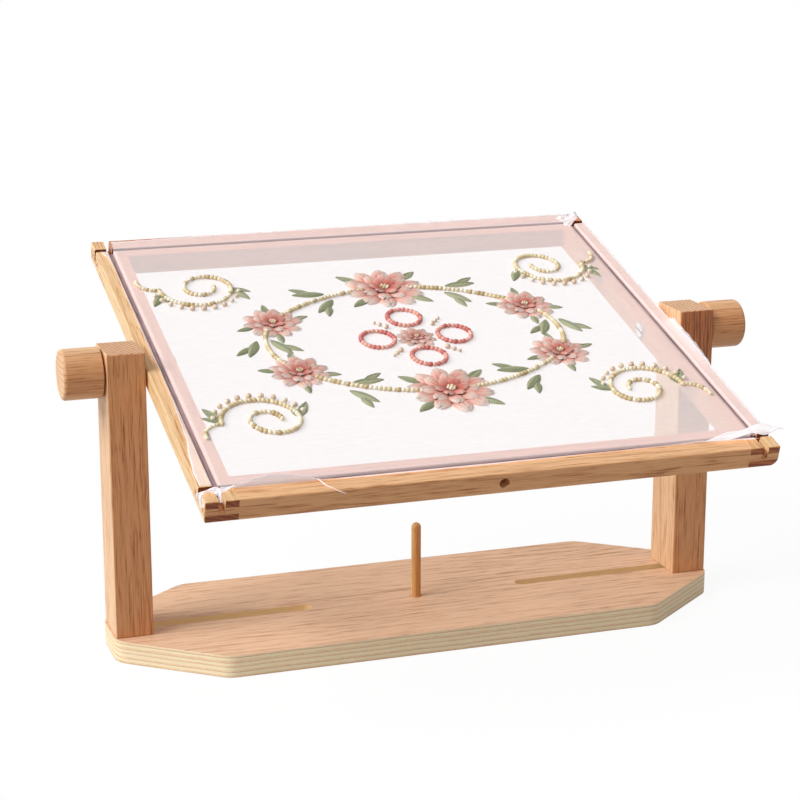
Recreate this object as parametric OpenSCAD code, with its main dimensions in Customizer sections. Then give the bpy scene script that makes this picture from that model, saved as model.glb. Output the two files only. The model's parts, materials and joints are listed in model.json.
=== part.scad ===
// Table stand for a stretched embroidery frame: a plywood base, two clamped posts,
// and a grooved frame that tilts between them on two hand-turned screws.
// Millimetres, +Z up, origin on the table under the middle of the base.

/* [Base] */
// How far the base reaches past the outer face of each post
base_lip = 1.4; // [0.8:0.1:20]
// Depth of the base, front to back
base_w = 174; // [150:1:260]
// Thickness of the plywood
base_t = 18; // [15:0.5:24]
// Length along the base that each cut corner takes off
corner_cut = 77; // [50:1:110]
// Length of the straight edge at each end
base_end = 52; // [46:1:90]
// Radius at each corner of the outline
base_corner_r = 20; // [4:1:30]
// Width of the two post slots
slot_w = 12; // [9:0.5:14]
// Distance from the middle of the base to the inner end of each slot
slot_start = 90; // [40:1:150]
// Depth of the recess under the base that hides the clamp bolt
recess_h = 6; // [5.5:0.5:9]

/* [Posts] */
// Width of each post, along the base
post_w = 30; // [28:1:40]
// Depth of each post, front to back
post_d = 44; // [30:1:60]
// Height of each post above the base
post_h = 230; // [215:1:320]
// Distance from the pivot screw up to the top of the post
pivot_drop = 18; // [12:1:40]
// Outward travel of a loosened post
post_travel = 2; // [0:0.5:2.5]
// Rounding of the arrises of the wooden pieces
ease = 1; // [0.3:0.1:2]

/* [Frame] */
// Length of the frame, between the posts
frame_l = 450; // [400:1:470]
// Depth of the frame, front to back
frame_w = 416; // [300:1:420]
// Thickness of the rails
rail_t = 17; // [14:0.5:24]
// Width of the two side rails
side_w = 25; // [20:0.5:34]
// Width of the front and back rails
cross_w = 31; // [22:0.5:40]
// Tilt of the frame towards the front at rest
tilt = 16; // [0:1:40]
// Distance from the outside of a side rail to the middle of its groove
side_groove = 12.5; // [9:0.5:14]
// Distance from the outside of a front or back rail to the middle of its groove
cross_groove = 18; // [16:0.5:20]
// Width of the grooves
groove_w = 5; // [4:0.25:7]
// Depth of the grooves
groove_h = 10; // [7:0.5:12]
// Radius of the lower outer edge of the left rail
left_low_r = 2.5; // [1:0.5:8]
// Radius of the lower outer edge of the right rail
right_low_r = 8; // [1:0.5:8]
// Bore for an accessory in the middle of the front rail
accessory_d = 8; // [5:0.5:10]
// Depth of the accessory bore
accessory_depth = 12.5; // [6:0.5:13]

/* [Cloth] */
// Thickness drawn for the organza
cloth_t = 0.5; // [0.3:0.1:0.8]
// Height of the retaining strips
strip_h = 6; // [4:0.5:7]
// Distance from the top of the frame down to the retaining strips
strip_sink = 2; // [1:0.5:2.5]
// Gap between the end of a retaining strip and the groove that crosses it
strip_gap = 1; // [0.5:0.5:6]
// Width of the loose margin beside the left groove at the back
left_margin = 2.5; // [1:0.5:8]
// Width of the loose margin beside the left groove at the front
left_margin_front = 7; // [2:0.5:9]
// Width of the loose margin in front of the front groove
front_margin = 3; // [1:0.5:12]
// Length of the loose point of cloth at the front right corner
tail_l = 44; // [10:1:60]

/* [Knobs and screws] */
// Diameter of the knobs
knob_d = 40; // [30:1:55]
// Length of the knobs
knob_l = 31; // [20:1:45]
// Rounding of the outer rim of the knobs
knob_rim = 3; // [1:0.5:8]
// Diameter of the pivot screws
stud_d = 6; // [5:0.5:7]
// Length of a pivot screw held in its knob
stud_in_knob = 22; // [12:1:28]
// Length of a pivot screw held in the frame
stud_in_nut = 16; // [8:1:16]
// Running clearance round the pivot screws and in other round fits
fit_gap = 0.08; // [0.02:0.01:0.1]
// Thickness of the washers on the pivot screws
washer_t = 1.6; // [1:0.1:3]
// Diameter of the washers on the pivot screws
washer_d = 18; // [14:1:24]
// Diameter of the sleeve nut's head
nut_head_d = 14; // [12:0.5:16]
// Thickness of the sleeve nut's head
nut_head_t = 1.5; // [1:0.1:3]
// Wall of the sleeve nut's barrel
nut_wall = 1; // [0.7:0.1:1.5]
// Distance from the end of the sleeve nut's barrel to the outside of the rail
nut_inset = 3; // [1:0.5:6]

/* [Post clamps] */
// Diameter of the clamp bolts
bolt_d = 8; // [5:0.5:8]
// Diameter of the clamp bolt's flat head
bolt_head_d = 17; // [13:0.5:18]
// Thickness of the clamp bolt's head
bolt_head_t = 3; // [2:0.5:3.5]
// Width across the flats of the socket in the bolt's head
socket_af = 5; // [3:0.5:6]
// Diameter of the washer on the clamp bolt
clamp_washer_d = 20; // [16:0.5:20.5]
// Thickness of the washer on the clamp bolt
clamp_washer_t = 1.6; // [1:0.1:2]
// Outer diameter of the threaded insert in the post
insert_d = 12; // [10:0.5:14]
// Length of the threaded insert
insert_l = 20; // [12:1:30]
// Length of the clamp bolt past the insert
bolt_tip = 6; // [1:1:12]

/* [Thread peg] */
// Diameter of the thread peg
peg_d = 8; // [5:0.5:12]
// Height of the peg above the base
peg_h = 64; // [30:1:70]
// Depth of the peg's hole in the base
peg_socket = 13; // [8:1:14]
// Distance of the peg in front of the middle of the base
peg_front = 3; // [0:1:30]

/* [Embroidery] */
// Height of the stitched relief above the cloth
stitch_h = 2.2; // [1:0.1:4]
// Half length of the wreath
wreath_a = 124; // [116:1:128]
// Half depth of the wreath
wreath_b = 86; // [80:1:90]
// Radius of a large blossom
blossom_r = 32; // [20:1:33]
// Length of a leaf
leaf_l = 27; // [14:1:28]
// Thickness of the bead cord
cord_d = 4; // [2:0.2:5]
// Radius of the outer turn of a corner scroll
scroll_r = 30; // [14:1:31]
// Distance of the corner scrolls to each side of the middle
scroll_x = 188; // [180:1:196]
// Distance of the corner scrolls in front of and behind the middle
scroll_y = 108; // [104:1:120]

/* [Hidden] */
$fn = 64;
seat = 0.02;                // clearance of pieces that are glued or pressed in
cut = 1;                    // how far a cutting shape runs past a face
blind = 1;                  // depth of a blind hole past the screw in it
bolt_room = 1;              // space from the clamp bolt to the end of its slot
bolt_side_room = 0.5;       // space round the clamp bolt above its insert
washer_play = 0.2;          // space between the clamp bolt and its washer
nut_play = 0.3;             // space between the sleeve nut and the strip and cloth that it passes
washer_room = 1;            // space round the clamp washer in its recess
socket_h = 2;               // depth of the hexagon socket in the bolt's head
peg_rim_w = 1;              // width and depth of the worn rim of the peg's hole
peg_rim_h = 0.8;
knob_back_rim = 1;          // rounding of the knob's inner rim
nut_floor = 3;              // closed end of the sleeve nut, with its screwdriver slot
nut_slot_w = 1.6;
nut_slot_h = 0.7;
wood = [0.83, 0.62, 0.42];
pale_wood = [0.90, 0.72, 0.50];
ply = [0.85, 0.70, 0.54];
steel = [0.75, 0.76, 0.78];
brass = [0.80, 0.65, 0.35];
sheer = [0.95, 0.88, 0.88];
strip_wood = [0.55, 0.38, 0.34];
coral = [0.85, 0.52, 0.48];
sage = [0.55, 0.60, 0.42];
cream = [0.86, 0.77, 0.55];

post_x = frame_l / 2 + washer_t + post_w / 2;
pivot_z = base_t + post_h - pivot_drop;
base_l = 2 * (post_x + post_w / 2 + base_lip);
base_straight = base_l - 2 * corner_cut;
finger = rail_t / 3;
strip_w = groove_w - 2 * cloth_t;
nut_barrel_d = stud_d + 2 * nut_wall;
eye_r = 0.22;               // parts of a blossom's radius: its eye and its inner disc
disc_r = 0.68;
petals = 8;
small_blossom = 0.74;       // size of the side blossoms against the large ones
centre_blossom = 0.5;       // size of the middle blossom against the large ones
leaf_width = 0.34;          // parts of a leaf's length: its width, and how far a pair stands apart
leaf_spread = 0.22;
leaf_angle = 26;
leaf_h = 0.6;               // parts of the relief's height: a leaf, and a blossom's eye
eye_h = 1.3;
ring_r = 0.16;              // parts of the wreath's half depth: the inner rings and their distance
ring_reach = 0.38;
stem_angle = 50;            // half the turn of each end arc of the oval stem
scroll_turns = 3;
scroll_ratio = 0.64;
wreath_blossoms = [90, 270, 28, 152, 208, 332];
wreath_leaves = [59, 121, 239, 301, 0, 180];
side_x = frame_l / 2 - side_groove;
cross_y = frame_w / 2 - cross_groove;

// Points of a convex outline with every corner rounded to radius r
function unit(v) = v / norm(v);
function corner_points(a, b, c, r, steps) =
    let (d1 = unit(a - b), d2 = unit(c - b))
    let (half = acos(d1 * d2) / 2)
    let (centre = b + unit(d1 + d2) * r / sin(half))
    let (t1 = b + d1 * r / tan(half) - centre)
    let (a1 = atan2(t1[1], t1[0]), turn = 180 - 2 * half)
    [for (i = [0:steps]) centre + r * [cos(a1 + turn * i / steps), sin(a1 + turn * i / steps)]];
function rounded(p, r, steps = 8) =
    let (n = len(p))
    [for (i = [0:n - 1]) each corner_points(p[(i + n - 1) % n], p[i], p[(i + 1) % n], r, steps)];

base_corners = [
    [-base_straight / 2, -base_w / 2], [base_straight / 2, -base_w / 2],
    [base_l / 2, -base_end / 2], [base_l / 2, base_end / 2],
    [base_straight / 2, base_w / 2], [-base_straight / 2, base_w / 2],
    [-base_l / 2, base_end / 2], [-base_l / 2, -base_end / 2]
];

// Straight slot along X with round ends, from x1 to x2
module slot_2d(x1, x2, w) {
    translate([x1 + w / 2, -w / 2])
        square([x2 - x1 - w, w]);
    translate([x1 + w / 2, 0])
        circle(d = w);
    translate([x2 - w / 2, 0])
        circle(d = w);
}

// Rectangle centred on the origin whose four corners have their own radii, from the lower left round
module rectangle(l, w, radii) {
    corner = [[-1, -1], [1, -1], [1, 1], [-1, 1]];
    difference() {
        square([l, w], center = true);
        for (i = [0:3])
            translate([corner[i][0] * l / 2, corner[i][1] * w / 2])
                square(2 * radii[i], center = true);
    }
    for (i = [0:3])
        translate([corner[i][0] * (l / 2 - radii[i]), corner[i][1] * (w / 2 - radii[i])])
            circle(r = radii[i]);
}

// Wooden block centred on the origin with eased arrises
module eased_block(l, w, h, r) {
    intersection() {
        translate([0, 0, -h / 2])
            linear_extrude(h)
                rectangle(l, w, [r, r, r, r]);
        rotate([90, 0, 0])
            translate([0, 0, -w / 2 - cut])
                linear_extrude(w + 2 * cut)
                    rectangle(l, h, [r, r, r, r]);
        rotate([90, 0, 90])
            translate([0, 0, -l / 2 - cut])
                linear_extrude(l + 2 * cut)
                    rectangle(w, h, [r, r, r, r]);
    }
}

// Puts a frame drawn flat, with its top face at z 0, on the pivot at the resting tilt
module on_pivot() {
    translate([0, 0, pivot_z])
        rotate([tilt, 0, 0])
            translate([0, 0, rail_t / 2])
                children();
}

// Round bar along +X from x, on the pivot's line
module along_x(x, l, d) {
    translate([x, 0, 0])
        rotate([0, 90, 0])
            cylinder(h = l, d = d);
}

module right_side() {
    translate([0, 0, pivot_z])
        children();
}

module left_side() {
    translate([0, 0, pivot_z])
        mirror([1, 0, 0])
            children();
}

// Base board
module base() {
    slot_end = post_x + post_travel + bolt_d / 2 + bolt_room;
    recess_w = clamp_washer_d + 2 * washer_room;
    recess_end = post_x + post_travel + recess_w / 2;
    color(ply)
        difference() {
            linear_extrude(base_t)
                polygon(rounded(base_corners, base_corner_r));
            for (side = [0, 1])
                mirror([side, 0, 0]) {
                    translate([0, 0, -cut])
                        linear_extrude(base_t + 2 * cut)
                            slot_2d(slot_start, slot_end, slot_w);
                    translate([0, 0, -cut])
                        linear_extrude(recess_h + cut)
                            slot_2d(slot_start - (recess_w - slot_w) / 2, recess_end, recess_w);
                }
            translate([0, -peg_front, base_t - peg_socket])
                cylinder(h = peg_socket + cut, d = peg_d + 2 * fit_gap);
            translate([0, -peg_front, base_t - peg_rim_h])
                cylinder(h = peg_rim_h + cut, d = peg_d + 2 * peg_rim_w);
        }
}

// Posts
module post() {
    foot = -(post_h - pivot_drop);
    color(wood)
        difference() {
            translate([post_x, 0, foot + post_h / 2])
                eased_block(post_w, post_d, post_h, ease);
            along_x(post_x - post_w / 2 - cut, post_w + 2 * cut, stud_d + 2 * fit_gap);
            translate([post_x, 0, foot - cut])
                cylinder(h = insert_l + cut, d = insert_d + 2 * seat);
            translate([post_x, 0, foot + insert_l - cut])
                cylinder(h = cut + bolt_tip + blind, d = bolt_d + 2 * bolt_side_room);
        }
}

module post_insert() {
    color(brass)
        translate([post_x, 0, base_t - pivot_z])
            difference() {
                cylinder(h = insert_l, d = insert_d);
                translate([0, 0, -cut])
                    cylinder(h = insert_l + 2 * cut, d = bolt_d + 2 * fit_gap);
            }
}

module clamp_bolt() {
    head_z = recess_h - clamp_washer_t - bolt_head_t - pivot_z;
    shank = base_t - recess_h + clamp_washer_t + insert_l + bolt_tip;
    color(steel)
        translate([post_x, 0, head_z])
            difference() {
                union() {
                    cylinder(h = bolt_head_t, d = bolt_head_d);
                    cylinder(h = bolt_head_t + shank, d = bolt_d);
                }
                translate([0, 0, -cut])
                    cylinder(h = cut + socket_h, d = socket_af / cos(30), $fn = 6);
            }
}

module clamp_washer() {
    color(steel)
        translate([post_x, 0, recess_h - clamp_washer_t - pivot_z])
            difference() {
                cylinder(h = clamp_washer_t, d = clamp_washer_d);
                translate([0, 0, -cut])
                    cylinder(h = clamp_washer_t + 2 * cut, d = bolt_d + 2 * washer_play);
            }
}

// Knobs, screws and washers on the pivot line
module knob() {
    rims = [knob_back_rim, knob_back_rim, knob_rim, knob_rim];
    face_x = post_x + post_w / 2 + washer_t;
    color(pale_wood)
        translate([face_x, 0, 0])
            rotate([0, 90, 0])
                difference() {
                    rotate_extrude()
                        difference() {
                            translate([0, knob_l / 2])
                                rectangle(knob_d, knob_l, rims);
                            translate([-knob_d, -cut])
                                square([knob_d, knob_l + 2 * cut]);
                        }
                    translate([0, 0, -cut])
                        cylinder(h = stud_in_knob + cut + blind, d = stud_d + 2 * seat);
                }
}

module pivot_stud() {
    tip = frame_l / 2 - stud_in_nut;
    tail = post_x + post_w / 2 + washer_t + stud_in_knob;
    color(steel)
        along_x(tip, tail - tip, stud_d);
}

module washer(x) {
    color(steel)
        difference() {
            along_x(x, washer_t, washer_d);
            along_x(x - cut, washer_t + 2 * cut, stud_d + 2 * fit_gap);
        }
}

module knob_washer() {
    washer(post_x + post_w / 2);
}

module pivot_washer() {
    washer(frame_l / 2);
}

module sleeve_nut() {
    face_x = frame_l / 2 - side_w;
    barrel_l = side_w - nut_inset;
    color(steel)
        rotate([tilt, 0, 0])
            difference() {
                union() {
                    along_x(face_x - nut_head_t, nut_head_t, nut_head_d);
                    along_x(face_x - nut_head_t, nut_head_t + barrel_l, nut_barrel_d);
                }
                along_x(face_x + nut_floor, barrel_l, stud_d + 2 * fit_gap);
                translate([face_x - nut_head_t - cut, -nut_head_d, -nut_slot_w / 2])
                    cube([cut + nut_slot_h, 2 * nut_head_d, nut_slot_w]);
            }
}

// Frame rails, drawn flat with the top face at z 0
module frame_envelope() {
    intersection() {
        translate([0, 0, -rail_t])
            linear_extrude(rail_t)
                rectangle(frame_l, frame_w, [ease, ease, ease, ease]);
        translate([0, frame_w / 2 + cut, -rail_t / 2])
            rotate([90, 0, 0])
                linear_extrude(frame_w + 2 * cut)
                    rectangle(frame_l, rail_t, [left_low_r, right_low_r, ease, ease]);
        translate([-frame_l / 2 - cut, 0, -rail_t / 2])
            rotate([90, 0, 90])
                linear_extrude(frame_l + 2 * cut)
                    rectangle(frame_w, rail_t, [ease, ease, ease, ease]);
    }
}

module grooves() {
    for (side = [-1, 1]) {
        translate([side * side_x - groove_w / 2, -frame_w / 2 - cut, -groove_h])
            cube([groove_w, frame_w + 2 * cut, groove_h + cut]);
        translate([-frame_l / 2 - cut, side * cross_y - groove_w / 2, -groove_h])
            cube([frame_l + 2 * cut, groove_w, groove_h + cut]);
    }
}

// Blocks of the corner joints: the middle finger belongs to the front and back rails
module middle_fingers(side) {
    translate([-frame_l / 2 - cut, side * (frame_w / 2 - cross_w / 2) - cross_w / 2 - cut, -2 * finger])
        cube([frame_l + 2 * cut, cross_w + 2 * cut, finger]);
}

module side_rail(side) {
    x1 = side < 0 ? -frame_l / 2 : frame_l / 2 - side_w;
    color(pale_wood)
        on_pivot()
            difference() {
                intersection() {
                    frame_envelope();
                    translate([x1, -frame_w / 2, -rail_t])
                        cube([side_w, frame_w, rail_t]);
                }
                grooves();
                for (end = [-1, 1])
                    translate([x1 - cut, end * (frame_w / 2 - cross_w / 2) - cross_w / 2, -2 * finger])
                        translate([0, end < 0 ? -cut : 0, 0])
                            cube([side_w + 2 * cut, cross_w + cut, finger]);
                translate([0, 0, -rail_t / 2])
                    along_x(x1 - cut, side_w + 2 * cut, nut_barrel_d + 2 * seat);
            }
}

module cross_rail(side) {
    y1 = side < 0 ? -frame_w / 2 : frame_w / 2 - cross_w;
    inner_l = frame_l - 2 * side_w;
    color(wood)
        on_pivot()
            difference() {
                intersection() {
                    frame_envelope();
                    union() {
                        translate([-inner_l / 2, y1, -rail_t])
                            cube([inner_l, cross_w, rail_t]);
                        translate([-frame_l / 2, y1, -2 * finger])
                            cube([frame_l, cross_w, finger]);
                    }
                }
                grooves();
                if (side < 0)
                    translate([0, -frame_w / 2 - cut, -rail_t / 2])
                        rotate([-90, 0, 0])
                            cylinder(h = accessory_depth + cut, d = accessory_d);
            }
}

// Space that a sleeve nut takes where it crosses a side groove
module nut_way(side) {
    translate([0, 0, -rail_t / 2])
        along_x(side * side_x - groove_w / 2 - cut, groove_w + 2 * cut, nut_barrel_d + 2 * nut_play);
}

// Retaining strips pressed into the grooves over the cloth; the side ones bridge the sleeve nuts
module side_strip(side) {
    l = 2 * (cross_y - groove_w / 2 - strip_gap);
    color(strip_wood)
        on_pivot()
            difference() {
                translate([side * side_x - strip_w / 2, -l / 2, -strip_sink - strip_h])
                    cube([strip_w, l, strip_h]);
                nut_way(side);
            }
}

module cross_strip(side) {
    l = 2 * (side_x - groove_w / 2 - strip_gap);
    color(strip_wood)
        on_pivot()
            translate([-l / 2, side * cross_y - strip_w / 2, -strip_sink - strip_h])
                cube([l, strip_w, strip_h]);
}

// Organza: the stretched panel, its turns down into the grooves and its loose margins
module groove_lining(l) {
    rotate([90, 0, 0])
        translate([0, 0, -l / 2])
            linear_extrude(l)
                difference() {
                    translate([-groove_w / 2, -groove_h])
                        square([groove_w, groove_h + cloth_t]);
                    translate([-groove_w / 2 + cloth_t, -groove_h + cloth_t])
                        square([groove_w - 2 * cloth_t, groove_h + cut]);
                }
}

module organza() {
    panel_x = side_x - groove_w / 2;
    panel_y = cross_y - groove_w / 2;
    outer_x = side_x + groove_w / 2;
    outer_y = cross_y + groove_w / 2;
    lining_x = panel_x - strip_gap;
    lining_y = panel_y - strip_gap;
    turn_x = outer_x - cloth_t;
    turn_y = outer_y - cloth_t;
    color(sheer)
        on_pivot() {
            linear_extrude(cloth_t) {
                square([2 * panel_x, 2 * panel_y], center = true);
                square([2 * panel_x + 2 * cloth_t, 2 * lining_y], center = true);
                square([2 * lining_x, 2 * panel_y + 2 * cloth_t], center = true);
                polygon([
                    [-turn_x, lining_y], [-outer_x - left_margin, lining_y], [-outer_x - left_margin, 0],
                    [-outer_x - left_margin_front, -lining_y], [-turn_x, -lining_y]
                ]);
                translate([turn_x, -lining_y])
                    square([frame_l / 2 - turn_x, 2 * lining_y]);
                translate([-lining_x, turn_y])
                    square([2 * lining_x, frame_w / 2 - turn_y]);
                translate([-lining_x, -outer_y - front_margin])
                    square([2 * lining_x, front_margin + cloth_t]);
                polygon([
                    [panel_x - tail_l, -outer_y - front_margin], [panel_x, -outer_y - 2 * front_margin],
                    [frame_l / 2 + front_margin, -outer_y - front_margin], [frame_l / 2, -outer_y],
                    [panel_x - tail_l, -outer_y]
                ]);
            }
            for (side = [-1, 1]) {
                difference() {
                    translate([side * side_x, 0, 0])
                        groove_lining(2 * lining_y);
                    nut_way(side);
                }
                translate([0, side * cross_y, 0])
                    rotate(90)
                        groove_lining(2 * lining_x);
            }
        }
}

// Stitched relief: a wreath of blossoms and leaves, looped cord inside it and a scroll at each corner
module leaf(l, w) {
    r = (l * l + w * w) / (4 * w);
    color(sage)
        linear_extrude(stitch_h * leaf_h)
            intersection() {
                translate([l / 2, r - w / 2])
                    circle(r = r);
                translate([l / 2, w / 2 - r])
                    circle(r = r);
            }
}

module blossom(r) {
    reach = r * disc_r;
    color(coral)
        linear_extrude(stitch_h)
            difference() {
                union() {
                    circle(r = reach);
                    for (i = [0:petals - 1])
                        rotate(360 * i / petals)
                            translate([reach, 0])
                                circle(r = r - reach);
                }
                circle(r = r * eye_r);
            }
    color(cream)
        cylinder(h = stitch_h * eye_h, r = r * eye_r);
}

// Half-round cord along an arc that starts at angle a1 and turns through angle sweep
module cord_arc(r, a1, sweep) {
    color(cream)
        rotate(a1)
            rotate_extrude(angle = sweep)
                translate([r, 0])
                    intersection() {
                        circle(d = cord_d);
                        translate([-cord_d, 0])
                            square(2 * cord_d);
                    }
}

// Scroll of half turns, each drawn in by the same ratio, that starts at the origin and opens along +X
module scroll(r, turns, ratio) {
    translate([-r, 0, 0])
        cord_arc(r, 0, 180);
    if (turns > 1)
        translate([-2 * r, 0, 0])
            rotate(180)
                scroll(r * ratio, turns - 1, ratio);
}

// Flat cord along an arc that starts at angle a1 and turns through angle sweep, which is under 180
module flat_arc(r, a1, sweep) {
    reach = 2 * r / cos(sweep / 2);
    intersection() {
        difference() {
            circle(r = r + cord_d / 2);
            circle(r = r - cord_d / 2);
        }
        polygon([
            [0, 0], reach * [cos(a1), sin(a1)], reach * [cos(a1 + sweep / 2), sin(a1 + sweep / 2)],
            reach * [cos(a1 + sweep), sin(a1 + sweep)]
        ]);
    }
}

// Oval stem under the wreath, of two end arcs and two long arcs that meet without a corner
module stem() {
    middle = (wreath_a - wreath_b) / (1 + tan(stem_angle) - 1 / cos(stem_angle));
    end_r = wreath_a - middle;
    long_r = end_r + middle / cos(stem_angle);
    color(cream)
        linear_extrude(cord_d / 2)
            for (turn = [0, 180])
                rotate(turn) {
                    translate([middle, 0, 0])
                        flat_arc(end_r, -stem_angle, 2 * stem_angle);
                    translate([0, -middle * tan(stem_angle), 0])
                        flat_arc(long_r, stem_angle, 180 - 2 * stem_angle);
                }
}

module embroidery() {
    on_pivot()
        translate([0, 0, cloth_t]) {
            for (a = wreath_blossoms)
                translate([wreath_a * cos(a), wreath_b * sin(a), 0])
                    blossom(abs(cos(a)) < 0.5 ? blossom_r : blossom_r * small_blossom);
            for (a = wreath_leaves)
                for (flip = [-1, 1])
                    translate([wreath_a * cos(a), wreath_b * sin(a), 0])
                        rotate(atan2(wreath_b * cos(a), -wreath_a * sin(a)) + (cos(a) > 0 ? 180 : 0))
                            translate([-leaf_l / 2, flip * leaf_l * leaf_spread, 0])
                                rotate(flip * leaf_angle)
                                    leaf(leaf_l, leaf_l * leaf_width);
            blossom(blossom_r * centre_blossom);
            stem();
            for (i = [0:3])
                rotate(90 * i)
                    translate([wreath_b * ring_reach, 0, 0])
                        cord_arc(wreath_b * ring_r, 0, 360);
            for (u = [-1, 1])
                for (v = [0, 1])
                    mirror([0, v, 0])
                        translate([u * scroll_x, -scroll_y, 0])
                            mirror([u > 0 ? 0 : 1, 0, 0])
                                scroll(scroll_r, scroll_turns, scroll_ratio);
        }
}

// Thread peg
module thread_peg() {
    color(pale_wood)
        translate([0, -peg_front, base_t - peg_socket])
            rotate_extrude()
                difference() {
                    union() {
                        square([peg_d / 2, peg_socket + peg_h - peg_d / 2]);
                        translate([0, peg_socket + peg_h - peg_d / 2])
                            circle(d = peg_d);
                    }
                    translate([-peg_d, -cut])
                        square([peg_d, peg_socket + peg_h + 2 * cut]);
                }
}

base();
left_side() post();  // left_post
right_side() post();  // right_post
left_side() post_insert();  // left_post_insert
right_side() post_insert();  // right_post_insert
left_side() clamp_bolt();  // left_clamp_bolt
right_side() clamp_bolt();  // right_clamp_bolt
left_side() clamp_washer();  // left_clamp_washer
right_side() clamp_washer();  // right_clamp_washer
left_side() knob();  // left_knob
right_side() knob();  // right_knob
left_side() pivot_stud();  // left_pivot_stud
right_side() pivot_stud();  // right_pivot_stud
left_side() knob_washer();  // left_knob_washer
right_side() knob_washer();  // right_knob_washer
left_side() pivot_washer();  // left_pivot_washer
right_side() pivot_washer();  // right_pivot_washer
left_side() sleeve_nut();  // left_sleeve_nut
right_side() sleeve_nut();  // right_sleeve_nut
cross_rail(-1);  // front_rail
cross_rail(1);  // back_rail
side_rail(-1);  // left_rail
side_rail(1);  // right_rail
cross_strip(-1);  // front_strip
cross_strip(1);  // back_strip
side_strip(-1);  // left_strip
side_strip(1);  // right_strip
organza();
embroidery();
thread_peg();
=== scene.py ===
import json
import math
import bpy
import numpy as np
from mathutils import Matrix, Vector


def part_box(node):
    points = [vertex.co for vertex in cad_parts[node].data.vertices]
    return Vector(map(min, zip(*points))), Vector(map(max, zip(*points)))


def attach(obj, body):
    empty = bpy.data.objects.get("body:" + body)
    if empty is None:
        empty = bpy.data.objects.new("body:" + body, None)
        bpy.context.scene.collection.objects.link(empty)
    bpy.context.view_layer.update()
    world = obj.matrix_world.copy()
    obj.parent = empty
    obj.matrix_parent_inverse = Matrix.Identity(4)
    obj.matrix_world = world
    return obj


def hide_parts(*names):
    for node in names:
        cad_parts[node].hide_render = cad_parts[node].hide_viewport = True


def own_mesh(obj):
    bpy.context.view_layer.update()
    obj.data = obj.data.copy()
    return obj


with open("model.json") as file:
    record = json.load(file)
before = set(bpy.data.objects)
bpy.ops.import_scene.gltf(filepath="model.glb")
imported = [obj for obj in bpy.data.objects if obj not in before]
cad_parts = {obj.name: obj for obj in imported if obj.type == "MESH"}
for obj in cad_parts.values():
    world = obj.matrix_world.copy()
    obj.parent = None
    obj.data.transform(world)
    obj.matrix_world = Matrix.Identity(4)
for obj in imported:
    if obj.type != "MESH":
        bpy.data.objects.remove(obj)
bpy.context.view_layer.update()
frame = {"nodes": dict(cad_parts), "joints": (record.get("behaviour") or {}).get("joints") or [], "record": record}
nodes = frame["nodes"]
mm = 0.001
print("frame loaded,", len(nodes), "nodes")

# where the tilting frame lies: its own directions and the middle of its top face
boreAxis = next(m["axis"] for m in frame["record"]["mounts"] if m["name"] == "accessory_bore")
tilt = math.atan2(-boreAxis[2], -boreAxis[1])
pivot = next(j["pos_m"] for j in frame["joints"] if j["name"] == "frame_tilt")
alongV = np.array([0, math.cos(tilt), math.sin(tilt)])
alongN = np.array([0, -math.sin(tilt), math.cos(tilt)])


def frameCoordinates(node):
    # a node's points as distance right, back and up on the tilted frame, from the pivot's middle
    points = np.array([v.co for v in nodes[node].data.vertices]) - np.array([0, 0, pivot[2]])
    return np.stack([points[:, 0], points @ alongV, points @ alongN], 1)


railTop = frameCoordinates("front_rail")[:, 2].max()
frameHalf = np.abs(frameCoordinates("front_rail")[:, :2]).max(0)
strips = [np.abs(frameCoordinates(name)[:, k]) for k, name in enumerate(("right_strip", "back_strip"))]
stripInner, stripOuter = (np.array([pick(s) for s in strips]) for pick in (np.min, np.max))


def toWorld(points):
    # from frame coordinates, with the top face at height 0, to the part's own
    points = np.asarray(points, float)
    origin = np.array([0, 0, pivot[2]]) + alongN * railTop
    return origin + points[:, :1] * [1, 0, 0] + points[:, 1:2] * alongV + points[:, 2:3] * alongN


def srgb(red, green, blue):
    # a colour as the screen shows it, 0 to 255, as the linear value that shaders take
    return tuple((c / 255 / 12.92) if c <= 10 else ((c / 255 + 0.055) / 1.055) ** 2.4
                 for c in (red, green, blue)) + (1,)


def feed(socket, value):
    # gives an input another node's output, or a plain value
    if isinstance(value, bpy.types.NodeSocket):
        socket.id_data.links.new(value, socket)
    else:
        socket.default_value = value


def addNode(tree, kind, inputs=None, **settings):
    node = tree.nodes.new(kind)
    for name, value in settings.items():
        setattr(node, name, value)
    for key, value in (inputs or {}).items():
        feed(node.inputs[key], value)
    return node


def newOutput(tree, kind, inputs=None, **settings):
    return addNode(tree, kind, inputs, **settings).outputs[0]


# the helpers below find their node tree from a socket that they are given
def makeFrom(values, kind, **settings):
    tree = next(v for v in values if isinstance(v, bpy.types.NodeSocket)).id_data
    return newOutput(tree, kind, dict(enumerate(values)), **settings)


def calc(operation, *values):
    return makeFrom(values, "ShaderNodeMath", operation=operation)


def combine(x, y, z):
    return makeFrom((x, y, z), "ShaderNodeCombineXYZ")


def plus(first, second):
    return calc("ADD", first, second)


def minus(first, second):
    return calc("SUBTRACT", first, second)


def times(first, second):
    return calc("MULTIPLY", first, second)


def split(vector):
    return list(addNode(vector.id_data, "ShaderNodeSeparateXYZ", {0: vector}).outputs)


def stretch(vector, scale):
    return newOutput(vector.id_data, "ShaderNodeVectorMath", {0: vector, 1: scale},
                     operation="MULTIPLY")


def noise(vector, scale, detail=2.0, roughness=0.5):
    return newOutput(vector.id_data, "ShaderNodeTexNoise", {
        "Vector": stretch(vector, scale), "Scale": 1.0, "Detail": detail, "Roughness": roughness})


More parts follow.
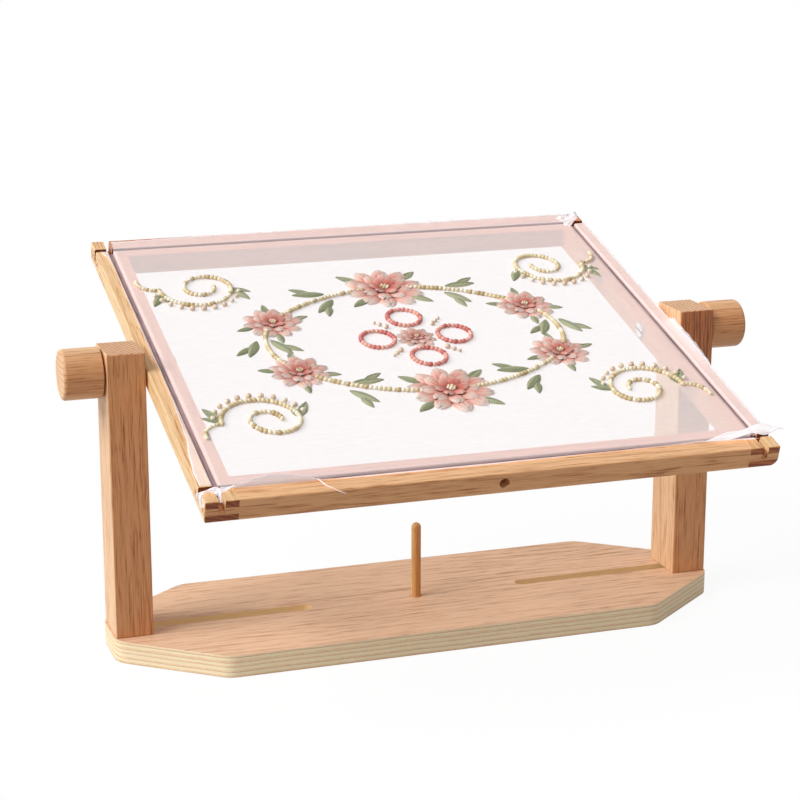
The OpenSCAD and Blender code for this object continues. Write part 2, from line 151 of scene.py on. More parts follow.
def ramp(factor, stops):
    # each stop is a place and a colour: three numbers as the screen shows it, or four as shaders take it
    node = addNode(factor.id_data, "ShaderNodeValToRGB", {0: factor})
    elements = node.color_ramp.elements
    elements[0].position, elements[1].position = stops[0][0], stops[-1][0]
    for stop in stops[1:-1]:
        elements.new(stop[0])
    for element, stop in zip(elements, stops):
        element.color = srgb(*stop[1:]) if len(stop) == 4 else stop[1:]
    return node.outputs[0]


def blendColour(factor, first, second, mode="MIX"):
    return addNode(factor.id_data, "ShaderNodeMix", {0: factor, 6: first, 7: second}, data_type="RGBA",
                   blend_type=mode).outputs[2]


socketKinds = {"Geometry": "Geometry", "Material": "Material", "Vector": "Vector", "Facing": "Vector",
               "Pith": "Vector", "Count": "Int", "Seed": "Int"}


def newTree(kind, name, inputs, outputs):
    # a group whose inputs and outputs are numbers, apart from those named above
    tree = bpy.data.node_groups.new(name, kind + "NodeTree")
    for way, titles in (("INPUT", inputs), ("OUTPUT", outputs)):
        for title in titles:
            tree.interface.new_socket(title, in_out=way,
                                      socket_type="NodeSocket" + socketKinds.get(title, "Float"))
    return tree, tree.nodes.new("NodeGroupInput").outputs, tree.nodes.new("NodeGroupOutput").inputs


def newMaterial(name):
    # the material, its node tree and its shader
    material = bpy.data.materials.new(name)
    material.use_nodes = True
    tree = material.node_tree
    return material, tree, tree.nodes["Principled BSDF"]


def setShader(shader, **values):
    for title, value in values.items():
        feed(shader.inputs[title.replace("_", " ")], value)


def bump(height, distance, strength=0.8):
    return newOutput(height.id_data, "ShaderNodeBump", {
        "Height": height, "Distance": distance, "Strength": strength})


def fromPivot(place):
    # a point's place seen from the pivot, in the world's directions and in the tilted frame's
    tree = place.id_data
    level = newOutput(tree, "ShaderNodeMapping", {"Vector": place, "Location": (0, 0, -pivot[2])})
    return level, newOutput(tree, "ShaderNodeMapping", {"Vector": level, "Rotation": (-tilt, 0, 0)})


# Solid wood with its grain along Z: rings round a far pith, fibres, short dark pores, slow changes
def makeTimber():
    # scales of the noises, across the grain and along it, in waves a metre
    scales = {"wander": (17, 17, 3.2), "strength": (40, 40, 4), "fibres": (640, 640, 15),
              "fine": (1100, 1100, 45), "pores": (620, 620, 62), "slow": (30, 30, 5)}
    shares = {"late": 0.6, "slow": 0.4, "fine": 0.9, "fibre": 2.3, "pores": 0.3, "quietEnds": 0.8}
    group, given, result = newTree(
        "Shader", "timber", ["Vector", "Facing", "Pith", "Rings", "Wander", "Fibre", "Taper", "Ends"],
        ["Tone", "Height", "End"])
    place = given["Vector"]
    outwards = newOutput(group, "ShaderNodeVectorMath", {0: stretch(place, (1, 1, 0)), 1: given["Pith"]},
                         operation="ADD")
    distance = addNode(group, "ShaderNodeVectorMath", {0: outwards}, operation="LENGTH").outputs["Value"]
    distance = plus(distance, times(split(place)[2], given["Taper"]))
    shift = times(minus(noise(place, scales["wander"], 3), 0.5), given["Wander"])
    acrossRing = calc("FRACT", times(plus(distance, shift), given["Rings"]))
    late = times(calc("POWER", acrossRing, 2.6), times(noise(place, scales["strength"], 2), 1.1))
    fibres = noise(place, scales["fibres"], 4, 0.65)
    fine = noise(place, scales["fine"], 2)
    pores = newOutput(group, "ShaderNodeMapRange", {
        "Value": noise(place, scales["pores"], 1), "From Min": 0.6, "From Max": 0.72})
    end = calc("POWER", calc("ABSOLUTE", split(given["Facing"])[2]), 4.0)
    # end grain shows its rings and hardly any fibres
    quiet = minus(1.0, times(end, shares["quietEnds"]))
    threads = times(plus(minus(fibres, 0.5), times(minus(fine, 0.5), shares["fine"])), quiet)
    tone = plus(times(late, shares["late"]), times(noise(place, scales["slow"], 3), shares["slow"]))
    tone = plus(tone, times(threads, times(given["Fibre"], shares["fibre"])))
    tone = plus(tone, times(pores, shares["pores"]))
    tone = plus(tone, times(end, times(given["Ends"], calc("POWER", acrossRing, 1.5))))
    height = times(minus(times(fibres, 0.7), times(pores, 0.6)), quiet)
    for title, value in (("Tone", tone), ("Height", height), ("End", end)):
        group.links.new(value, result[title])
    return group


timber = makeTimber()


def timberParts(tree, turn, pith, rings, wander, fibre, taper, ends=1.0):
    place = addNode(tree, "ShaderNodeTexCoord").outputs
    grain = newOutput(tree, "ShaderNodeMapping", {"Vector": place["Object"], "Rotation": turn})
    facing = newOutput(tree, "ShaderNodeMapping", {"Vector": place["Normal"], "Rotation": turn},
                       vector_type="VECTOR")
    return addNode(tree, "ShaderNodeGroup", {
        "Vector": grain, "Facing": facing, "Pith": pith, "Rings": rings, "Wander": wander, "Fibre": fibre,
        "Taper": taper, "Ends": ends}, node_tree=timber).outputs, place


def paintedFrontShade(place, colour, tint):
    # painted shade: faces that look to the front are darkened by a multiplied tint, as they get less light than
    # the sides
    front = calc("MAXIMUM", times(split(place["Normal"])[1], -1.0), 0.0)
    return blendColour(front, colour, tint, "MULTIPLY")


grainAlongX = (0, -math.pi / 2, 0)
grainAlongV = (math.pi / 2 - tilt, 0, 0)
grainAlongZ = (0, 0, 0)
grainDepth = 0.15 * mm


def underCloth(place, colour):
    # less light reaches the rails where the stretched panel covers them
    sizes = {"inset": 0.2 * mm, "tint": (0.74, 0.50, 0.46, 1)}
    right, back, up = split(fromPivot(place["Object"])[1])
    inside = calc("GREATER_THAN", up, sizes["inset"] - railTop)
    for distance, half, start in zip((right, back), frameHalf, stripInner):
        inside = times(inside, calc("GREATER_THAN", distance, -start))
        inside = times(inside, calc("LESS_THAN", distance, half - sizes["inset"]))
    return blendColour(inside, colour, sizes["tint"], "MULTIPLY")


woodTones = {
    "front": [(0.1, 244, 200, 152), (0.45, 232, 182, 134), (0.95, 184, 126, 82)],
    "side": [(0.1, 250, 216, 168), (0.45, 240, 198, 144), (0.95, 190, 132, 84)],
    "post": [(0.1, 246, 206, 162), (0.45, 234, 186, 140), (0.95, 178, 118, 78)],
    "knob": [(0.1, 244, 204, 160), (0.45, 232, 182, 134), (0.95, 172, 112, 72)],
    "dowel": [(0.1, 240, 200, 138), (0.5, 226, 178, 112), (0.95, 186, 134, 78)],
    "upperFrontDark": [(0.2, 214, 150, 96), (0.5, 160, 98, 58), (0.8, 96, 52, 28)],
    "veneer": [(0.1, 240, 200, 164), (0.45, 229, 184, 147), (0.95, 172, 122, 86)],
    "strip": [(0.1, 168, 140, 140), (0.5, 138, 108, 110), (0.95, 96, 68, 70)],
}


def woodMaterial(name, tones, turn, pith, rings, wander=0.006, fibre=0.9, taper=0.0, ends=1.0,
                 endTint=None, frontShadeTint=None, covered=False):
    material, tree, shader = newMaterial(name)
    parts, place = timberParts(tree, turn, pith, rings, wander, fibre, taper, ends)
    colour = ramp(parts["Tone"], tones)
    if endTint:
        colour = blendColour(parts["End"], colour, endTint, "MULTIPLY")
    if frontShadeTint:
        colour = paintedFrontShade(place, colour, frontShadeTint)
    if covered:
        colour = underCloth(place, colour)
    setShader(shader, Base_Color=colour, Roughness=0.52, Normal=bump(parts["Height"], grainDepth))
    return material


def darkUpperFrontMaterial(frontShadeTint):
    # the right post is darker on the upper part of its front face
    sizes = {"from": 0.165, "full": 0.215, "waviness": 0.04, "strength": 0.9}
    material, tree, shader = newMaterial("beechDarkUpperFront")
    parts, place = timberParts(tree, grainAlongZ, (-0.196, -0.067, 0), 330.0, 0.010, 1.0, 0.02)
    pale = ramp(parts["Tone"], woodTones["post"])
    dark = ramp(parts["Tone"], woodTones["upperFrontDark"])
    front = calc("GREATER_THAN", times(split(place["Normal"])[1], -1.0), 0.5)
    wave = times(noise(place["Object"], (120, 20, 14), 3), sizes["waviness"])
    height = plus(split(place["Object"])[2], wave)
    fade = newOutput(tree, "ShaderNodeMapRange", {
        "Value": height, "From Min": sizes["from"], "From Max": sizes["full"]})
    mask = times(times(fade, front), sizes["strength"])
    colour = paintedFrontShade(place, blendColour(mask, pale, dark), frontShadeTint)
    setShader(shader, Base_Color=colour, Roughness=0.52, Normal=bump(parts["Height"], grainDepth))
    return material


def plywoodMaterial():
    # veneer on the two faces and a stack of pale plies with thin darker ones between round the edge
    sizes = {"plies": 9, "thickness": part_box("base")[1].z, "wobble": 1.8 * mm, "thinFrom": 0.6,
             "lineHalf": 0.07, "slotHalf": 8 * mm, "slotReach": 240 * mm, "glow": 0.07, "slotGlow": 0.03}
    material, tree, shader = newMaterial("plywood")
    parts, place = timberParts(tree, grainAlongX, (0.02, 0.26, 0), 105.0, 0.05, 0.85, 0.02)
    veneer = ramp(parts["Tone"], woodTones["veneer"])
    right, back, up = split(place["Object"])
    wobble = noise(place["Object"], (22, 22, 40), 3)
    level = plus(up, times(minus(wobble, 0.5), sizes["wobble"]))
    bands = noise(combine(0, 0, level), (0, 0, 420), 1)
    uneven = noise(combine(0, 0, level), (0, 0, 190), 1)
    layer = times(level, sizes["plies"] / sizes["thickness"] / 2)
    part = calc("FRACT", plus(layer, times(uneven, 1.1)))
    thin = calc("GREATER_THAN", part, sizes["thinFrom"])
    line = calc("LESS_THAN", calc("ABSOLUTE", minus(part, sizes["thinFrom"])), sizes["lineHalf"])
    fleck = noise(place["Object"], (500, 500, 900), 4, 0.7)
    long = noise(place["Object"], (90, 90, 1500), 3)
    grain = plus(times(fleck, 0.5), times(long, 0.5))
    pale = ramp(grain, [(0.35, 255, 242, 216), (0.62, 252, 228, 190)])
    tan = ramp(grain, [(0.35, 252, 230, 194), (0.62, 232, 194, 146)])
    edge = blendColour(times(thin, 0.8), pale, tan)
    edge = blendColour(times(line, 0.55), edge, srgb(190, 146, 98))
    edge = blendColour(times(bands, 0.3), edge, srgb(244, 218, 176), "MULTIPLY")
    # painted shade and light: the slot walls take one plain warm colour in place of the plies, set for how they
    # look deep in the slot
    inSlot = times(calc("LESS_THAN", calc("ABSOLUTE", back), sizes["slotHalf"]),
                   calc("LESS_THAN", calc("ABSOLUTE", right), sizes["slotReach"]))
    edge = blendColour(inSlot, edge, srgb(240, 204, 152))
    upright = calc("GREATER_THAN", calc("ABSOLUTE", split(place["Normal"])[2]), 0.5)
    colour = blendColour(upright, edge, veneer)
    height = plus(parts["Height"], times(line, -0.5))
    # a faint glow on the edges stands for the light that a white table throws back at them
    glow = times(minus(1.0, upright), plus(sizes["glow"], times(inSlot, sizes["slotGlow"])))
    setShader(shader, Base_Color=colour, Roughness=0.6, Emission_Strength=1.0,
              Emission_Color=blendColour(glow, (0, 0, 0, 1), edge), Normal=bump(height, grainDepth))
    return material


def metalMaterial(name, colour, roughness):
    sizes = {"wornTone": 0.82, "brushed": 0.22, "depth": 0.03 * mm}
    material, tree, shader = newMaterial(name)
    place = addNode(tree, "ShaderNodeTexCoord").outputs["Object"]
    lines = noise(place, (400, 3000, 3000), 3)
    worn = noise(place, (300, 300, 300), 3)
    tone = ramp(worn, [(0.3, *colour), (0.7, *(c * sizes["wornTone"] for c in colour[:3]), 1)])
    rough = plus(times(lines, sizes["brushed"]), roughness - 0.1)
    setShader(shader, Base_Color=tone, Metallic=1.0, Roughness=rough,
              Normal=bump(lines, sizes["depth"], 0.5))
    return material


def nutMaterial():
    # painted shade: the head's screwdriver slot and the rim round the head are painted dark
    sizes = {"face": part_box("right_sleeve_nut")[0].x, "slotHalf": 0.9 * mm, "slotDepth": 1.0 * mm,
             "rimRadius": 6.1 * mm, "rimShade": 0.6, "depth": 0.03 * mm}
    material, tree, shader = newMaterial("slottedSteel")
    place = addNode(tree, "ShaderNodeTexCoord").outputs["Object"]
    depth = calc("ABSOLUTE", split(place)[0])
    spot, flat = fromPivot(place)
    inSlot = times(calc("LESS_THAN", calc("ABSOLUTE", split(flat)[2]), sizes["slotHalf"]),
                   calc("LESS_THAN", depth, sizes["face"] + sizes["slotDepth"]))
    radius = addNode(tree, "ShaderNodeVectorMath", {0: stretch(spot, (0, 1, 1))}, operation="LENGTH")
    rim = calc("GREATER_THAN", radius.outputs["Value"], sizes["rimRadius"])
    # painted shade in the slot and round the rim
    slotAndRimShade = calc("MAXIMUM", inSlot, times(rim, sizes["rimShade"]))
    worn = noise(place, (300, 300, 300), 3)
    tone = ramp(worn, [(0.3, 250, 250, 252), (0.7, 228, 230, 236)])
    setShader(shader, Base_Color=blendColour(slotAndRimShade, tone, srgb(30, 26, 28)), Metallic=0.25,
              Roughness=0.45, Normal=bump(worn, sizes["depth"], 0.5))
    return material


# Sewing thread: fine strands across the piece's own UV map, as height and tone
def makeStrands():
    group, given, result = newTree("Shader", "strands", ["Vector", "Strands"], ["Tone", "Height"])
    sway = noise(given["Vector"], (5, 14, 1), 2)
    across = plus(split(given["Vector"])[1], times(sway, 0.05))
    wave = calc("SINE", times(times(across, given["Strands"]), 6.2832))
    height = plus(times(wave, 0.5), 0.5)
    patchy = noise(given["Vector"], (3, 40, 1), 3)
    group.links.new(plus(times(height, 0.4), times(patchy, 0.6)), result["Tone"])
    group.links.new(height, result["Height"])
    return group


strands = makeStrands()


def stored(tree, name):
    # a number that the mesh keeps on its points
    return addNode(tree, "ShaderNodeAttribute", attribute_name=name).outputs["Fac"]


def threadMaterial(name, stops, count=26.0):
    sizes = {"mottle": 0.5, "depth": 0.18 * mm}
    material, tree, shader = newMaterial(name)
    uv = newOutput(tree, "ShaderNodeUVMap", uv_map="threads")
    parts = addNode(tree, "ShaderNodeGroup", {"Vector": uv, "Strands": count}, node_tree=strands).outputs
    mixed = plus(stored(tree, "tone"), times(minus(parts["Tone"], 0.5), sizes["mottle"]))
    setShader(shader, Base_Color=ramp(mixed, stops), Roughness=0.45, Sheen_Weight=0.35,
              Sheen_Roughness=0.4, Normal=bump(parts["Height"], sizes["depth"]))
    return material


def beadMaterial(name, stops, roughness=0.3):
    material, tree, shader = newMaterial(name)
    place = addNode(tree, "ShaderNodeTexCoord").outputs["Object"]
    fine = noise(place, (1400, 1400, 1400), 2)
    mixed = plus(stored(tree, "tint"), times(minus(fine, 0.5), 0.3))
    setShader(shader, Base_Color=ramp(mixed, stops), Roughness=roughness, Coat_Weight=0.25,
              Coat_Roughness=0.2, Normal=bump(fine, 0.1 * mm, 0.4))
    return material


def organzaMaterial():
    # sheer plain weave that is denser along its cut edge and where it lies in folds, and whiter there, partly from
    # the doubled cloth and partly as a painted highlight
    sizes = {"pitch": 0.6 * mm, "sheer": 0.34, "edge": 0.5, "most": 0.95, "depth": 0.04 * mm,
             "daylight": 0.17}
    material, tree, shader = newMaterial("organza")
    place = addNode(tree, "ShaderNodeTexCoord").outputs["Object"]
    flat = newOutput(tree, "ShaderNodeMapping", {"Vector": place, "Rotation": (-tilt, 0, 0)})
    warp, weft = (calc("SINE", times(d, 2 * math.pi / sizes["pitch"])) for d in split(flat)[:2])
    weave = calc("MAXIMUM", warp, weft)
    slub = noise(flat, (90, 500, 40), 3)
    denseAndHighlit = calc("MAXIMUM", stored(tree, "rim"), times(stored(tree, "fold"), 0.5))
    sheerness = plus(plus(sizes["sheer"], times(weave, 0.03)), times(slub, 0.05))
    alpha = calc("MINIMUM", plus(sheerness, times(denseAndHighlit, sizes["edge"])), sizes["most"])
    # partly a painted highlight: the dense edges and folds are whiter
    colour = blendColour(denseAndHighlit, srgb(236, 229, 227), srgb(248, 246, 250))
    # the emission stands for the daylight that comes through the threads from behind
    setShader(shader, Base_Color=colour, Alpha=alpha, Roughness=0.6, Sheen_Weight=0.15,
              Emission_Color=srgb(246, 244, 255), Emission_Strength=sizes["daylight"],
              Normal=bump(weave, sizes["depth"], 0.3))
    return material


print("building materials")
# painted shade for the faces that look to the front
shade = srgb(230, 198, 172)
# arguments after the grain: pith, rings a metre, wander, fibre, taper
woods = {
    "base": plywoodMaterial(),
    "left_post": woodMaterial("beechLeftPost", woodTones["post"], grainAlongZ,
                              (0.286, -0.067, 0), 300.0, 0.012, 0.9, 0.03, frontShadeTint=shade),
    "right_post": darkUpperFrontMaterial(shade),
    # the front rail's front face gets a lighter painted shade
    "front_rail": woodMaterial("beechFrontRail", woodTones["front"], grainAlongX,
                               (0.10, 0.30, 0), 190.0, 0.02, 1.0, 0.02, frontShadeTint=srgb(250, 226, 206),
                               covered=True),
    "back_rail": woodMaterial("beechBackRail", woodTones["front"], grainAlongX,
                              (-0.12, 0.22, 0), 190.0, 0.02, covered=True),
    "left_rail": woodMaterial("paleLeftRail", woodTones["side"], grainAlongV,
                              (0.245, 0.05, 0), 240.0, 0.03, 0.8, 0.03, endTint=srgb(184, 138, 100),
                              frontShadeTint=shade, covered=True),
    "right_rail": woodMaterial("paleRightRail", woodTones["side"], grainAlongV,
                               (-0.20, 0.05, 0), 220.0, 0.02, 0.8, 0.02, endTint=srgb(212, 170, 138),
                               frontShadeTint=shade, covered=True),
    "left_knob": woodMaterial("turnedLeftKnob", woodTones["knob"], grainAlongX,
                              (-0.215, 0.03, 0), 200.0, 0.012, 0.8, ends=0.12, frontShadeTint=shade),
    "right_knob": woodMaterial("turnedRightKnob", woodTones["knob"], grainAlongX,
                               (-0.26, -0.03, 0), 180.0, 0.012, 0.8, ends=0.12, frontShadeTint=shade),
    "thread_peg": woodMaterial("dowel", woodTones["dowel"], grainAlongZ,
                               (0.03, 0.02, 0), 400.0, 0.004, 0.9, frontShadeTint=shade),
}
alongStrip = woodMaterial("stripWood", woodTones["strip"], grainAlongX, (0.05, 0.08, 0), 300.0)
sideStrip = woodMaterial("sideStripWood", woodTones["strip"], grainAlongV, (0.05, 0.08, 0), 300.0)
woods.update({"front_strip": alongStrip, "back_strip": alongStrip,
              "left_strip": sideStrip, "right_strip": sideStrip})
steel = metalMaterial("zincSteel", srgb(222, 224, 228), 0.32)
nutSteel = nutMaterial()
brass = metalMaterial("machinedBrass", srgb(212, 176, 104), 0.34)
organza = organzaMaterial()

for name, node in nodes.items():
    if name in woods:
        finish = woods[name]
    elif name.endswith("insert"):
        finish = brass
    elif name.endswith("sleeve_nut"):
        finish = nutSteel
    else:
        finish = steel
    node.data.materials.clear()
    node.data.materials.append(finish)


def makeMesh(name, points, faces, values=None, uvs=None):
    # values are numbers stored on the points, such as a tone
    mesh = bpy.data.meshes.new(name)
    mesh.from_pydata([tuple(p) for p in points], [], faces)
    for title, numbers in (values or {}).items():
        kept = mesh.attributes.new(title, "FLOAT", "POINT")
        kept.data.foreach_set("value", np.asarray(numbers, np.float32))
    if uvs is not None:
        layer = mesh.uv_layers.new(name="threads")
        corner = np.zeros(len(mesh.loops), np.int32)
        mesh.loops.foreach_get("vertex_index", corner)
        layer.data.foreach_set("uv", np.asarray(uvs, np.float32)[corner].ravel())
    mesh.update()
    return mesh


def addObject(name, data):
    made = bpy.data.objects.new(name, data)
    bpy.context.scene.collection.objects.link(made)
    return made


def makePiece(name, points, faces, material, values=None, uvs=None, smooth=True):
    # points in the part's own frame
    mesh = makeMesh(name, points, faces, values, uvs)
    mesh.polygons.foreach_set("use_smooth", [smooth] * len(mesh.polygons))
    mesh.materials.append(material)
    mesh.validate()
    mesh.update()
    return addObject(name, mesh)


def gridFaces(rows, columns, offset=0):
    return [(offset + i * columns + j, offset + (i + 1) * columns + j, offset + (i + 1) * columns + j + 1,
             offset + i * columns + j + 1) for i in range(rows - 1) for j in range(columns - 1)]


def closedGrid(rows, columns, offset=0):
    # a grid that faces up, closed below by one face round its rim
    last = (rows - 1) * columns
    rim = (list(range(columns)) + [i * columns + columns - 1 for i in range(1, rows)]
           + [last + j for j in range(columns - 2, -1, -1)] + [i * columns for i in range(rows - 2, 0, -1)])
    return [f[::-1] for f in gridFaces(rows, columns, offset)] + [tuple(offset + k for k in rim)]


# Organza: a stretched panel, its turns down into the grooves and loose margins beyond them
clothSizes = {
    "step": 2.5 * mm,        # spacing of the mesh along the panel
    "lift": 0.2 * mm,        # how far the cloth lies over the wood
    "thickness": 0.15 * mm,
    "endTaper": 1.0 * mm,    # how far the groove linings stop short of the crossing grooves
    "ripple": 0.5 * mm,
    "rows": 9,               # rows of mesh across a margin
}
# along each side, in mm: where, how wide the margin is beyond its groove, and how high its edge stands
margins = {
    "left": {
        "width": [(-187, 8.8), (-172, 9.4), (-150, 7.4), (-123, 3.8), (-95, 2.6), (-65, 1.4), (-45, 1.8),
                  (-22, 1.0), (0, 1.8), (22, 2.6), (45, 1.6), (98, 1.2), (134, 1.2), (155, 0.8),
                  (170, 1.6), (187, 5.6)],
        "rise": [(-187, 0.4), (-130, 0.5), (-95, 0.9), (-65, 0.8), (-45, 1.8), (-22, 2.2), (0, 1.4),
                 (22, 2.6), (45, 1.2), (98, 0.7), (134, 0.9), (187, 0.5)]},
    "right": {
        "width": [(-187, 9.6), (187, 9.6)],
        "rise": [(-187, 0.4), (-90, 0.8), (-68, 2.4), (-40, 3.2), (-8, 3.4), (0, 0.5), (187, 0.3)]},
    "front": {
        "width": [(-207, 1.8), (-195, 2.0), (-176, 1.4), (-150, 1.0), (-137, 1.6), (-108, 2.4),
                  (-62, 2.6), (0, 2.5), (50, 1.6), (81, 1.0), (130, 1.2), (166, 1.4), (180, 3.0),
                  (207, 8.0)],
        "rise": [(-207, 0.8), (-195, 4.6), (-186, 7.8), (-176, 9.2), (-166, 8.2), (-150, 5.0),
                 (-137, 1.2), (-120, 0.4), (80, 0.4), (130, 1.0), (166, 2.2), (180, 1.6), (207, 3.6)]},
    "back": {
        "width": [(-207, 11.0), (-120, 13.0), (0, 14.4), (207, 14.4)],
        "rise": [(-207, 0.2), (40, 0.3), (54, 1.3), (68, 0.3), (80, 1.4), (92, 0.4), (102, 1.2),
                 (120, 0.3), (150, 1.0), (165, 0.3), (207, 0.4)]},
}


def eased(points, at):
    # passes level through every given point, so it never runs past them
    xs, ys = np.array(points, float).T
    k = np.clip(np.searchsorted(xs, at) - 1, 0, len(xs) - 2)
    t = np.clip((at - xs[k]) / (xs[k + 1] - xs[k]), 0, 1)
    return ys[k] + (ys[k + 1] - ys[k]) * t * t * (3 - 2 * t)


def alongCurve(points, at):
    # a smooth curve through given points
    xs, ys = np.array(points, float).T
    slopes = np.gradient(ys, xs)
    k = np.clip(np.searchsorted(xs, at) - 1, 0, len(xs) - 2)
    h = xs[k + 1] - xs[k]
    t = np.clip((at - xs[k]) / h, 0, 1)
    return ((2 * t**3 - 3 * t**2 + 1) * ys[k] + (t**3 - 2 * t**2 + t) * h * slopes[k]
            + (3 * t**2 - 2 * t**3) * ys[k + 1] + (t**3 - t**2) * h * slopes[k + 1])


def thicken(piece):
    # a sheet as a thin solid, with all its modifiers worked into the mesh
    solid = piece.modifiers.new("thickness", "SOLIDIFY")
    solid.thickness = clothSizes["thickness"]
    solid.offset = 0
    evaluated = piece.evaluated_get(bpy.context.evaluated_depsgraph_get())
    mesh = bpy.data.meshes.new_from_object(evaluated)
    piece.modifiers.clear()
    piece.data = mesh
    return piece


def makeCloth():
    size = clothSizes
    grooveGap = (stripOuter - stripInner)[0] / 8     # room for the cloth on each side of a strip
    panel = stripInner - grooveGap
    groove = stripOuter - stripInner + 2 * grooveGap
    counts = [int(round(2 * p / size["step"])) + 1 for p in panel]
    us, vs = (np.linspace(-p, p, n) for p, n in zip(panel, counts))
    gridU, gridV = np.meshgrid(us, vs, indexing="ij")
    # the drum-tight panel still has a slow swell of a tenth of a millimetre
    swell = 0.12 * mm * np.sin(gridU * 37) * np.sin(gridV * 29)
    edge = np.minimum(panel[0] - np.abs(gridU), panel[1] - np.abs(gridV))
    height = size["lift"] + swell * np.clip(edge / 0.02, 0, 1)
    points = [np.stack([gridU, gridV, height], -1).reshape(-1, 3)]
    faces = gridFaces(*counts)
    rims, folds = [np.zeros(gridU.size)], [np.zeros(gridU.size)]
    start = gridU.size
    # down one wall of a groove, along its floor and up the other: out and up in mm, for a 5 mm groove
    profile = [(0.25, -1.0), (0.3, -3.0), (0.3, -6.0), (0.3, -9.0), (1.0, -9.55), (2.5, -9.6), (4.0, -9.55),
               (4.7, -9.0), (4.7, -6.0), (4.7, -3.0), (4.7, -1.0), (4.85, -0.2), (5.3, 0.25)]
    for side, (axis, sign) in {"left": (0, -1), "right": (0, 1), "front": (1, -1), "back": (1, 1)}.items():
        along = vs if axis == 0 else us
        width = eased(margins[side]["width"], along / mm) * mm
        rise = eased(margins[side]["rise"], along / mm) * mm
        phase = 0.7 + axis + sign
        ripple = size["ripple"] * (np.sin(along * 260 + phase) + 0.7 * np.sin(along * 610 + 2 * phase))
        rows = [(np.zeros(len(along)), np.full(len(along), size["lift"]), 0.25, 0.0)]
        scale = groove[axis] / (5 * mm)
        rows += [(np.full(len(along), out * mm * scale), np.full(len(along), up * mm),
                  0.3 if up > -0.5 else 0.08, 0.0) for out, up in profile]
        for k in range(1, size["rows"] + 1):
            share = k / size["rows"]
            out = groove[axis] + 0.3 * mm + (width - 0.3 * mm) * share
            wavy = np.abs(ripple) * share * np.minimum(0.6, width / (6 * mm))
            up = size["lift"] + 0.05 * mm + rise * share**1.4 + wavy
            near = np.clip(1.5 - (1 - share) * np.hypot(width, rise) / (0.9 * mm), 0, 1)
            rows.append((out, up, near, np.clip(rise / (5 * mm), 0, 1) * share))
        for b, (out, up, rim, fold) in enumerate(rows):
            taper = 1 - size["endTaper"] / along.max() * min(1, b)
            place = np.zeros((len(along), 3))
            place[:, axis] = sign * (panel[axis] + out)
            place[:, 1 - axis] = along * taper
            place[:, 2] = up
            points.append(place)
            rims.append(np.zeros(len(along)) + rim)
            folds.append(np.zeros(len(along)) + fold)
        flip = (axis == 0) != (sign > 0)
        for face in gridFaces(len(rows), len(along), start):
            faces.append(face[::-1] if flip else face)
        start += len(rows) * len(along)
    cloth = makePiece("organza_cloth", toWorld(np.concatenate(points)), faces, organza,
                      {"rim": np.concatenate(rims), "fold": np.concatenate(folds)})
    cloth.modifiers.new("weld", "WELD").merge_threshold = 0.02 * mm
    return thicken(cloth)


# Narrow strips of loose cloth: each follows listed points and has a width there
ribbons = {
    "organza_front_left_loop": {
        "points": [(-226.4, -207.0, -4.2), (-227.0, -203.0, -1.2), (-226.6, -198.6, 1.4),
                   (-222.5, -196.2, 1.8), (-217.0, -195.4, 1.8), (-213.6, -196.6, 1.6),
                   (-212.6, -201.0, 0.0), (-212.4, -205.2, -2.6)],
        "widths": [2.6, 4.4, 5.4, 5.4, 5.0, 4.8, 4.0, 2.2], "twist": 0.5},
    "organza_front_left_tuck": {
        "points": [(-214.0, -197.0, 1.0), (-210.5, -195.4, 1.4), (-206.0, -194.4, 1.4),
                   (-200.0, -193.8, 3.2)],
        "widths": [3.6, 4.2, 4.0, 3.0], "twist": 0.4},
    "organza_back_right_twist": {
        "points": [(203, 195, 0.8), (209, 198, 1.8), (214, 197, 1.2), (218, 201, 2.0), (221.5, 204.6, 1.2),
                   (224.6, 206.4, 0.4)],
        "widths": [8.0, 5.6, 4.0, 5.2, 4.6, 2.0], "twist": 0.9},
    "organza_right_point": {
        "points": [(168, -193.6, 1.6), (180, -193.4, 3.2), (192, -192.8, 4.6), (203, -191.8, 5.6),
                   (213, -190.6, 5.6), (222, -189.8, 5.4), (230, -189.6, 4.8), (236.5, -190.0, 3.8)],
        "widths": [1.2, 5.0, 9.5, 12.5, 12.0, 9.0, 5.0, 0.6], "twist": 0.3},
    "organza_back_right_corner": {
        "points": [(206.5, 183, 0.5), (208.0, 187, 1.2), (210.5, 191, 1.6), (214.5, 195, 1.2),
                   (218.6, 200, 1.0), (221.5, 204.6, 0.5)],
        "widths": [5.0, 8.0, 9.4, 9.6, 9.0, 6.0], "twist": 0.12},
    "organza_loose_thread": {
        "points": [(-139, -193.6, 2.0), (-137.5, -196.5, 1.6), (-135, -201.0, 0.8), (-131.5, -205.4, 0.7),
                   (-127.0, -208.4, -0.6), (-122.0, -209.0, -2.6)],
        "widths": [0.9, 0.9, 0.9, 0.8, 0.7, 0.5], "twist": 0.2},
}


def makeRibbon(name, given):
    controls = np.array(given["points"], float) * mm
    count = 10 * (len(controls) - 1) + 1
    ticks = np.linspace(0, len(controls) - 1, count)
    line = np.stack([alongCurve(list(enumerate(controls[:, k])), ticks) for k in range(3)], 1)
    widths = alongCurve(list(enumerate(given["widths"])), ticks) * mm
    tangent = np.gradient(line, axis=0)
    tangent /= np.linalg.norm(tangent, axis=1)[:, None]
    flat = np.cross([0, 0, 1], tangent)
    flat /= np.linalg.norm(flat, axis=1)[:, None]
    up = np.cross(tangent, flat)
    across = 9
    points, rims = [], []
    for i in range(count):
        turn = given["twist"] * math.sin(ticks[i] * 1.7)
        side = flat[i] * math.cos(turn) + up[i] * math.sin(turn)
        for t in np.linspace(-0.5, 0.5, across):
            crease = min(0.5 * mm, 0.12 * widths[i]) * math.sin(t * 9 + ticks[i] * 2)
            points.append(line[i] + side * t * widths[i] + up[i] * crease)
            rims.append(1.0 if abs(t) > 0.45 else 0.35)
    return thicken(makePiece(name, toWorld(points), gridFaces(count, across), organza,
                             {"rim": rims, "fold": np.full(len(rims), 0.8)}))


